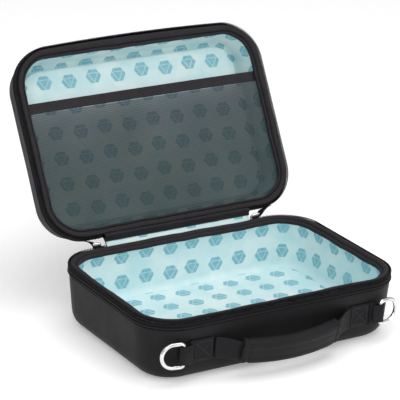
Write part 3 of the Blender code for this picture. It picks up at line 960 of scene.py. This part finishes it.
def build_pocket_band(half, mouth, depth):
    """Elastic folded over the mesh's edge, with two rows of stitches."""
    steps = 60
    shares = [2 * i / steps - 1 for i in range(steps + 1)]
    outline = [(-0.5, -0.4), (-0.46, -0.8), (-0.3, -0.95), (0, -1.0), (0.3, -0.95), (0.46, -0.8),
               (0.5, -0.4), (0.5, 0.4), (0.46, 0.8), (0.3, 0.95), (0, 1.0), (-0.3, 0.95),
               (-0.46, 0.8), (-0.5, 0.4)]
    path, sections = [], []
    for across in shares:
        centre = band_spot(half, mouth, depth, across)
        path.append(LID @ centre)
        sections.append([LID @ (centre + Vector((0, a * BAND_TALL, b * 0.7 * MM))) for a, b in outline])
    band = sweep("pocket_band_elastic", path, sections, "binding")
    give(band, "lid", "tape", "pocket_band")
    normal = LID.to_3x3() @ Vector((0, 0, 1))
    for index, share in enumerate((-0.34, 0.34)):
        lift = Vector((0, share * BAND_TALL, 0.68 * MM))
        row = [(LID @ (band_spot(half, mouth, depth, across) + lift
                       - Vector((0.015 * half * across, 0, 0))), normal) for across in shares]
        give(stitches(f"pocket_band_stitches_{index + 1}", row), "lid", "tape")


build_pocket()


# --- Handle -----------------------------------------------------------------------------
WEB_WIDTH = 25 * MM
WEB_THICK = 2.0 * MM
DROOP = math.radians(16)
GRIP_HALF = 56 * MM
GRIP_END_OUT = 12.5 * MM
GRIP_MIDDLE_OUT = 21.5 * MM
STRAP_FOOT = (80.2 * MM, 1.6 * MM)
PATCH_X = 94 * MM
PATCH_HALF = 13.25 * MM
HANDLE_PLACE = Matrix.Translation(HANDLE) @ Matrix.Rotation(DROOP, 4, "X")
FRONT_LEAN = Matrix.Rotation(math.atan(BASE_DRAFT), 4, "X")


def front_face(z):
    """Y of the front wall's outer face at a height."""
    return -(DEPTH / 2 - BASE_DRAFT * (RIM_Z - z))


def handle_line(x):
    """How far the handle's centre line stands out at x, in the handle's own frame."""
    reach = abs(x)
    rise = GRIP_MIDDLE_OUT - GRIP_END_OUT
    radius = (GRIP_HALF ** 2 + rise ** 2) / (2 * rise)
    if reach <= GRIP_HALF:
        return GRIP_MIDDLE_OUT - radius + math.sqrt(radius ** 2 - reach ** 2)
    t = min(1.0, (STRAP_FOOT[0] - reach) / (STRAP_FOOT[0] - GRIP_HALF))
    return STRAP_FOOT[1] + (GRIP_END_OUT - STRAP_FOOT[1]) * (0.35 * t + 0.65 * smooth(t))


def handle_out(x):
    """Direction square to the handle's centre line at x, away from the case."""
    slope = (handle_line(x - 1 * MM) - handle_line(x + 1 * MM)) / (2 * MM)
    return Vector((slope, -1, 0)).normalized()


def grip_thread(x, z, out):
    """Place and direction of a stitch in the grip's outer face, in the world."""
    spot = Vector((x, -handle_line(x), z)) + out * (GRIP_THICK / 2 - 1.15 * MM)
    return HANDLE_PLACE @ spot, HANDLE_PLACE.to_3x3() @ out


def strap_half(side, sign):
    """One end of the webbing, from the wall patch to inside the grip."""
    steps, start, stop = 18, STRAP_FOOT[0] - 0.3 * MM, GRIP_HALF - 9 * MM
    upright = Matrix.Translation(HANDLE) @ FRONT_LEAN
    outline = [(-0.5, -1), (0, -1.12), (0.5, -1), (0.62, -0.9), (0.5, 0), (0.62, 0.9), (0.5, 1),
               (0, 1.12), (-0.5, 1), (-0.62, 0.9), (-0.5, 0), (-0.62, -0.9)]
    path, sections = [], []
    for i in range(steps + 1):
        t = i / steps
        reach = start + (stop - start) * t
        ease = smooth(min(1.0, t * 1.25))
        centre = Vector((sign * reach, -handle_line(reach), 0))
        out = handle_out(sign * reach)
        squeeze = 1.0 - 0.12 * min(1.0, max(0.0, (t - 0.5) / 0.3))
        ring = []
        for a, b in outline:
            up = Vector((0, 0, b * WEB_WIDTH / 2.24 * squeeze))
            spot = centre + out * a * WEB_THICK * 0.85 + up
            ring.append((upright @ spot).lerp(HANDLE_PLACE @ spot, ease))
        path.append(ring[0].lerp(ring[6], 0.5))
        sections.append(ring)
    made = sweep(f"handle_strap_{side}", path, sections, "webbing")
    shape = made.modifiers.new("round", "SUBSURF")
    shape.levels = shape.render_levels = 1
    apply_modifiers(made)
    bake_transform(made)
    return made


GRIP_TALL = 26 * MM
GRIP_THICK = 13 * MM
SEAMS = (-4.7 * MM, 4.7 * MM)


def grip_section(reach, inflate):
    """Cross-section of the padded grip: a soft rounded block with stitched-in valleys."""
    count = 56
    ring = []
    for k in range(count):
        angle = 2 * math.pi * k / count
        power = 2 / 3.6
        cos, sin = math.cos(angle), math.sin(angle)
        out = math.copysign(abs(cos) ** power, cos) * GRIP_THICK / 2
        up = math.copysign(abs(sin) ** power, sin) * GRIP_TALL / 2
        valley = 0.0
        for seam in SEAMS:
            valley += math.exp(-((up - seam) / (0.9 * MM)) ** 2)
        end = math.exp(-((GRIP_HALF - 6 * MM - reach) / (0.9 * MM)) ** 2)
        dent = max(min(valley, 1.0) if out > 0 or abs(up) < 9 * MM else 0.0, end)
        puff = inflate * (1 - dent) - 1.25 * MM * dent
        scale_out = 1 + puff / (GRIP_THICK / 2)
        scale_up = 1 + 0.4 * puff / (GRIP_TALL / 2)
        ring.append((out * scale_out, up * scale_up))
    return ring


def build_grip():
    steps = 70
    path, sections = [], []
    for i in range(steps + 1):
        x = GRIP_HALF * (2 * i / steps - 1)
        reach = abs(x)
        out = handle_out(x)
        if reach > GRIP_HALF - 2 * MM:
            slope = 2 * (GRIP_MIDDLE_OUT - GRIP_END_OUT) / GRIP_HALF
            out = Vector((math.copysign(slope, x), -1, 0)).normalized()
        centre = Vector((x, -handle_line(x), 0))
        edge = min(1.0, (GRIP_HALF - reach) / (1.5 * MM))
        wobble = 0.15 * MM * noise.noise(Vector((x / (9 * MM), 0, 6)))
        tuck = 0.82 + 0.18 * math.sqrt(max(edge, 0.0))
        ring = [centre + out * a * tuck + Vector((0, 0, b * tuck))
                for a, b in grip_section(reach, 0.6 * MM + wobble)]
        path.append(HANDLE_PLACE @ centre)
        sections.append([HANDLE_PLACE @ p for p in ring])
    grip = sweep("handle_grip_padding", path, sections, "cover")
    give(grip, "handle", "cover", "handle_grip_cover", "handle_grip_foam")
    for index, seam in enumerate(SEAMS):
        row = []
        for i in range(1, steps):
            x = (GRIP_HALF - 6 * MM) * (2 * i / steps - 1)
            row.append(grip_thread(x, seam, handle_out(x)))
        give(stitches(f"handle_grip_stitches_{index + 1}", row), "handle", "cover")
    for name, sign in (("left", -1), ("right", 1)):
        x = sign * (GRIP_HALF - 6 * MM)
        out = Vector((sign * 0.29, -1, 0)).normalized()
        row = [grip_thread(x, 10.8 * MM * (k / 4 - 1), out) for k in range(9)]
        give(stitches(f"handle_grip_end_stitches_{name}", row), "handle", "cover")


def slab(name, place, width, height, thick, bow=0.0, steps=12):
    """A flat piece of webbing with rolled edges, its long side along X."""
    outline = [(-0.5, -1), (0, -1.1), (0.5, -1), (0.62, -0.92), (0.5, -0.5), (0.5, 0.5), (0.62, 0.92),
               (0.5, 1), (0, 1.1), (-0.5, 1)]
    path, sections = [], []
    for i in range(steps + 1):
        t = i / steps
        x = width * (t - 0.5)
        pinch = 0.6 if i in (0, steps) else 1.0
        lift = bow * math.sin(math.pi * t) + 0.12 * MM * noise.noise(Vector((x / (5 * MM), 1, 2)))
        ring = [place @ Vector((x, -a * thick * pinch - lift, b * height / 2.2)) for a, b in outline]
        path.append(place @ Vector((x, 0, 0)))
        sections.append(ring)
    return sweep(name, path, sections, "webbing")


def build_patches():
    """The strap's ends, folded under and sewn to the wall in a box with a cross."""
    for name, sign in (("left", -1), ("right", 1)):
        place = (Matrix.Translation((sign * PATCH_X, front_face(HANDLE.z) - 1.3 * MM, HANDLE.z))
                 @ FRONT_LEAN)
        patch = slab(f"strap_patch_{name}", place, 2 * PATCH_HALF, WEB_WIDTH, 1.9 * MM)
        fold_place = place @ Matrix.Translation((sign * (PATCH_HALF - 1.0 * MM), -1.2 * MM, 0))
        fold = slab(f"strap_fold_{name}", fold_place, 4.2 * MM, WEB_WIDTH * 1.02, 2.2 * MM,
                    bow=0.8 * MM, steps=6)
        piece = joined(f"strap_end_{name}", [patch, fold])
        piece.data.shade_smooth()
        give(piece, "base", "webbing", f"handle_patch_{name}")
        box_x, box_z, out = 9.2 * MM, 9.4 * MM, -1.12 * MM
        corners = [(-box_x, -box_z), (box_x, -box_z), (box_x, box_z), (-box_x, box_z), (-box_x, -box_z),
                   (box_x, box_z), (box_x, -box_z), (-box_x, box_z)]
        shift = -sign * 1.8 * MM
        threads = []
        for index, (a, b) in enumerate(zip(corners, corners[1:])):
            row = []
            for k in range(13):
                x = a[0] + (b[0] - a[0]) * k / 12 + shift
                z = a[1] + (b[1] - a[1]) * k / 12
                row.append((place @ Vector((x, out, z)), place.to_3x3() @ Vector((0, -1, 0))))
            threads.append(stitches(f"box_stitch_{name}_{index}", row, 2.6 * MM, 0.6 * MM, 0.42 * MM))
        threads = joined(f"strap_box_stitches_{name}", threads)
        threads.data.shade_smooth()
        give(threads, "base", "webbing")


def build_handle():
    straps = [strap_half("left", -1), strap_half("right", 1)]
    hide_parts("handle_webbing")
    build_grip()
    build_patches()


build_handle()


# --- Rings for a shoulder strap ---------------------------------------------------------
RING_HALF = 12.1 * MM
RING_ARM = 10.3 * MM
RING_WIRE = 2.1 * MM
RING_SOFT = 3.2 * MM
RING_TURN = math.radians(10)
LOOP_WIDTH = 19.4 * MM
LOOP_TAIL = 106.5 * MM
LOOP_SECTION = (
    (-1, -1), (0, -1.04), (1, -1), (1.15, -0.9), (1, 0), (1.15, 0.9), (1, 1), (0, 1.04), (-1, 1), (-1, 0),
)


def ring_arc(x, z, radius, first, last, steps):
    """Points round a centre, between two angles in degrees."""
    angles = [math.radians(first + (last - first) * k / steps) for k in range(steps + 1)]
    return [(x + radius * math.cos(angle), z + radius * math.sin(angle)) for angle in angles]


def build_rings():
    for name, sign in (("left", -1), ("right", 1)):
        joint = Vector(JOINTS[f"dring_{name}_swing"]["pos_m"])
        place = Matrix.Translation(joint) @ Matrix.Rotation(sign * RING_TURN, 4, "Z")
        points = ring_arc(RING_SOFT, RING_HALF - RING_SOFT, RING_SOFT, 180, 90, 6)
        points += ring_arc(RING_ARM, 0, RING_HALF, 90, -90, 36)
        points += ring_arc(RING_SOFT, RING_SOFT - RING_HALF, RING_SOFT, 270, 180, 6)
        points += [(0.0, (RING_SOFT - RING_HALF) * (1 - k / 5)) for k in range(1, 10)]
        path = [place @ Vector((sign * x, 0, z)) for x, z in points]
        ring = tube(f"dring_{name}_wire", path, RING_WIRE, "metal", closed=True, sides=16)
        give(ring, f"dring_{name}", "metal", f"dring_{name}")
        build_loop(name, sign, joint)


def build_loop(name, sign, joint):
    """Webbing folded round the ring's bar, both tails under the handle's patch."""
    half = 3.2 * MM
    tail = abs(joint.x) - LOOP_TAIL
    back = front_face(HANDLE.z) - joint.y - 0.9 * MM
    line = [(tail, -1.1 * MM), (tail * 0.8, -1.3 * MM), (tail * 0.5, -2.3 * MM)]
    for k in range(13):
        angle = math.radians(-75 - 210 * k / 12)
        line.append((half * math.cos(angle), half * math.sin(angle)))
    line += [(tail * 0.35, back - 0.4 * MM), (tail * 0.75, back), (tail, back)]
    path, sections = [], []
    for i, (a, b) in enumerate(line):
        before, after = line[max(i - 1, 0)], line[min(i + 1, len(line) - 1)]
        along = Vector((after[0] - before[0], after[1] - before[1], 0)).normalized()
        out = Vector((along.y, -along.x, 0))
        ring = []
        for side, up in LOOP_SECTION:
            spot = Vector((a, b, up * LOOP_WIDTH / 2.08)) + out * side * 0.75 * MM
            ring.append(joint + Vector((-sign * spot.x, spot.y, spot.z)))
        path.append(joint + Vector((-sign * a, b, 0)))
        sections.append(ring)
    loop = sweep(f"dring_loop_{name}_webbing", path, sections, "webbing")
    give(loop, "base", "webbing", f"dring_loop_{name}")


build_rings()


# --- Zip sliders ------------------------------------------------------------------------
SLIDER_X = 98 * MM
SLIDER_BACK = 104.25 * MM
SLIDER_LONG = 10.8 * MM
SLIDER_TALL = 8.6 * MM
SLIDER_THICK = 2.6 * MM
BRIDGE_HALF = 3.2 * MM
BRIDGE_OUT = 4.6 * MM
BRIDGE_WIRE = 0.6 * MM
BRIDGE_DROP = 2 * MM
BRIDGE_BEND = 1.4 * MM


def slider_plate(name, sign):
    """The slider's cast body, rounded at both ends and narrower towards the middle of the rear."""
    path, sections = [], []
    for i in range(21):
        t = i / 20
        end = max(1 - abs(2 * t - 1) ** 3, 0.0) ** 0.5
        tall = SLIDER_TALL * (0.94 - 0.20 * t) * (0.25 + 0.75 * end) / 2
        thick = SLIDER_THICK * (0.35 + 0.65 * end) / 2
        x = SLIDER_X + SLIDER_LONG * (0.5 - t)
        ring = []
        for k in range(24):
            cos, sin = math.cos(math.pi * k / 12), math.sin(math.pi * k / 12)
            out = SLIDER_THICK / 2 + math.copysign(abs(cos) ** 0.7, cos) * thick
            up = math.copysign(abs(sin) ** 0.75, sin) * tall
            ring.append(Vector((sign * x, SLIDER_BACK + out, RIM_Z + up)))
        sections.append(ring)
        path.append(Vector((sign * x, SLIDER_BACK, RIM_Z)))
    return sweep(f"slider_plate_{name}", path, sections, "metal")


def slider_bridge(name, sign):
    """The wire bridge over the slider's body, which holds the pull."""
    line = [(-BRIDGE_HALF, SLIDER_THICK / 2)]
    for k in range(5):
        angle = math.radians(180 - 22.5 * k)
        line.append((BRIDGE_BEND - BRIDGE_HALF + BRIDGE_BEND * math.cos(angle),
                     BRIDGE_OUT - BRIDGE_BEND + BRIDGE_BEND * math.sin(angle)))
    line += [(-x, y) for x, y in line[::-1]]
    wire = [Vector((sign * SLIDER_X + x, SLIDER_BACK + y, RIM_Z - BRIDGE_DROP)) for x, y in line]
    return tube(f"slider_bridge_{name}", wire, BRIDGE_WIRE, "metal", sides=10)


def build_sliders():
    """Both zip sliders; the pulls and end stops keep their CAD shape."""
    for name, sign in (("left", -1), ("right", 1)):
        body = slider_plate(name, sign)
        piece = joined(f"zip_slider_{name}_body", [body, slider_bridge(name, sign)])
        piece.data.shade_smooth()
        give(piece, f"slider_{name}", "metal", f"zip_slider_{name}")
        for node in (f"zip_pull_{name}", f"zip_stop_{name}"):
            refinish(node, "metal")
    refinish("base_floor_pad", "foam")


def refinish(node, finish):
    """Gives a CAD part that stays in view its procedural material."""
    own = frame["nodes"][node]
    if not own.material_slots:
        own.data.materials.append(FINISHES[finish])
    for material_slot in own.material_slots:
        material_slot.material = FINISHES[finish]


build_sliders()


# --- Floor, light and camera ------------------------------------------------------------
FLOOR_HALF = 6.0
FLOOR_GLOW = 0.28
WORLD_GLOW = 0.55


def build_stage():
    shape = bmesh.new()
    bmesh.ops.create_grid(shape, x_segments=1, y_segments=1, size=FLOOR_HALF)
    surface = Surface("studio_floor", specular=0.2, roughness=0.9)
    shade = surface.mix(surface.noise(0.8), rgb(0.88, 0.88, 0.88), rgb(0.90, 0.90, 0.90))
    surface.put("Base Color", shade)
    surface.put("Emission Color", rgb(1.0, 1.0, 1.0))
    surface.put("Emission Strength", FLOOR_GLOW)
    floor = link("studio_floor", mesh_from("studio_floor", shape), "studio_floor")
    floor.location.z = -0.2 * MM
    world = bpy.data.worlds.new("studio")
    world.use_nodes = True
    background = world.node_tree.nodes["Background"]
    background.inputs["Color"].default_value = rgb(1.0, 1.0, 1.0)
    background.inputs["Strength"].default_value = WORLD_GLOW
    bpy.context.scene.world = world
    bpy.context.scene.view_settings.view_transform = "Standard"


def lamp(name, place, target, size, power):
    data = bpy.data.lights.new(name, "AREA")
    data.shape = "RECTANGLE"
    data.size, data.size_y = size
    data.energy = power
    made = into_scene(name, data)
    made.location = place
    made.rotation_euler = (Vector(target) - Vector(place)).to_track_quat("-Z", "Y").to_euler()


def build_lights():
    middle = (0.0, 0.05, 0.08)
    lamp("key_softbox", (-1.2, -1.35, 1.5), middle, (1.2, 1.2), 12.5)
    lamp("top_softbox", (0.2, -0.2, 1.9), middle, (1.6, 1.2), 14)
    lamp("fill_softbox", (0.9, -1.9, 0.9), middle, (1.2, 1.0), 8)


def build_camera():
    data = bpy.data.cameras.new("photo_view")
    data.lens = CAMERA_LENS
    data.clip_end = 50
    camera = into_scene("photo_view", data)
    flat = math.cos(CAMERA_ELEVATION)
    forward = Vector((-math.sin(CAMERA_AZIMUTH) * flat, math.cos(CAMERA_AZIMUTH) * flat,
                      -math.sin(CAMERA_ELEVATION)))
    camera.location = Vector(CAMERA_TARGET) - forward * CAMERA_DISTANCE
    level = forward.to_track_quat("-Z", "Y").to_matrix().to_4x4()
    camera.matrix_world = (Matrix.Translation(camera.location) @ level
                           @ Matrix.Rotation(CAMERA_ROLL, 4, "Z"))
    bpy.context.scene.camera = camera


build_stage()
build_lights()
build_camera()
